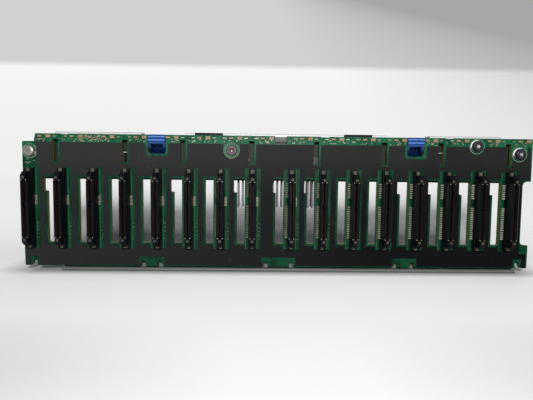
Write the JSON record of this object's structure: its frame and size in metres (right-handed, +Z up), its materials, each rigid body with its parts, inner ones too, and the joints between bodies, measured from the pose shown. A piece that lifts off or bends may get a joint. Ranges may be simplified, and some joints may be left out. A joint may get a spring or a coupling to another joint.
{
  "type": "drive backplane board",
  "caption": "Server drive backplane: green circuit board with a black film, a row of upright drive connectors between air slots, blue release latches and a metal-backed rear.",
  "frame": {"origin": "underside of the foot, midway along the board and midway between the front and rear edges of the foot", "axes": "+X to the right seen from the drive side, +Y rearwards, +Z up"},
  "size_m": [0.292, 0.0334, 0.0802],
  "materials": {
    "laminate": "solder-masked glass laminate",
    "film": "matte polycarbonate film",
    "tin": "tin plated",
    "sheet_steel": "zinc plated sheet",
    "latch_blue": "moulded, satin",
    "guide_plastic": "moulded",
    "bright_steel": "nickel plated",
    "black_steel": "black oxide",
    "copper_plate": "copper flashed",
    "chip_black": "moulded package",
    "pad_grey": "silicone",
    "dark_aluminium": "dark anodised",
    "socket_black": "moulded",
    "lamp_amber": "unlit lens",
    "capacitor_tan": "moulded tantalum",
    "connector_black": "glass filled moulding"
  },
  "bodies": {
    "board": {"circuit_board": "laminate", "insulator_film": "film", "solder_tails_left_bank": "tin", "solder_tails_right_bank": "tin", "connector_hold_downs": "tin", "top_stiffener": "sheet_steel", "foot_stiffener": "sheet_steel", "latch_guide_left": "guide_plastic", "latch_guide_right": "guide_plastic", "latch_stop_pins": "bright_steel", "screw_washers": "bright_steel", "corner_stud": "bright_steel", "board_screws": "black_steel", "centre_rivet": "copper_plate", "board_spacers": "bright_steel", "foot_spacers": "bright_steel", "foot_screws": "bright_steel", "expander_chip": "chip_black", "thermal_pad": "pad_grey", "heat_sink": "dark_aluminium", "heat_sink_screws": "bright_steel", "host_link_socket_left": "socket_black", "host_link_socket_right": "socket_black", "power_socket_left": "socket_black", "power_socket_right": "socket_black", "signal_socket": "socket_black", "power_pins": "tin", "signal_pins": "tin", "status_lights_narrow": "lamp_amber", "status_lights_wide": "lamp_amber", "rear_capacitors": "capacitor_tan", "bay_power_switches": "chip_black", "drive_connector_01": "connector_black", "drive_connector_02": "connector_black", "drive_connector_03": "connector_black", "drive_connector_04": "connector_black", "drive_connector_05": "connector_black", "drive_connector_06": "connector_black", "drive_connector_07": "connector_black", "drive_connector_08": "connector_black", "drive_connector_09": "connector_black", "drive_connector_10": "connector_black", "drive_connector_11": "connector_black", "drive_connector_12": "connector_black", "drive_connector_13": "connector_black", "drive_connector_14": "connector_black", "drive_connector_15": "connector_black", "drive_connector_16": "connector_black"},
    "latch_left": {"release_latch_left": "latch_blue"},
    "latch_right": {"release_latch_right": "latch_blue"}
  },
  "joints": [
    {"name": "latch_left_lift", "type": "slide", "parent": "board", "child": "latch_left", "axis": [0, 0, 1], "range_m": [0, 0.003], "stiffness_N_per_m": 400, "springref_m": -0.001},
    {"name": "latch_right_lift", "type": "slide", "parent": "board", "child": "latch_right", "axis": [0, 0, 1], "range_m": [0, 0.003], "stiffness_N_per_m": 400, "springref_m": -0.001}
  ]
}
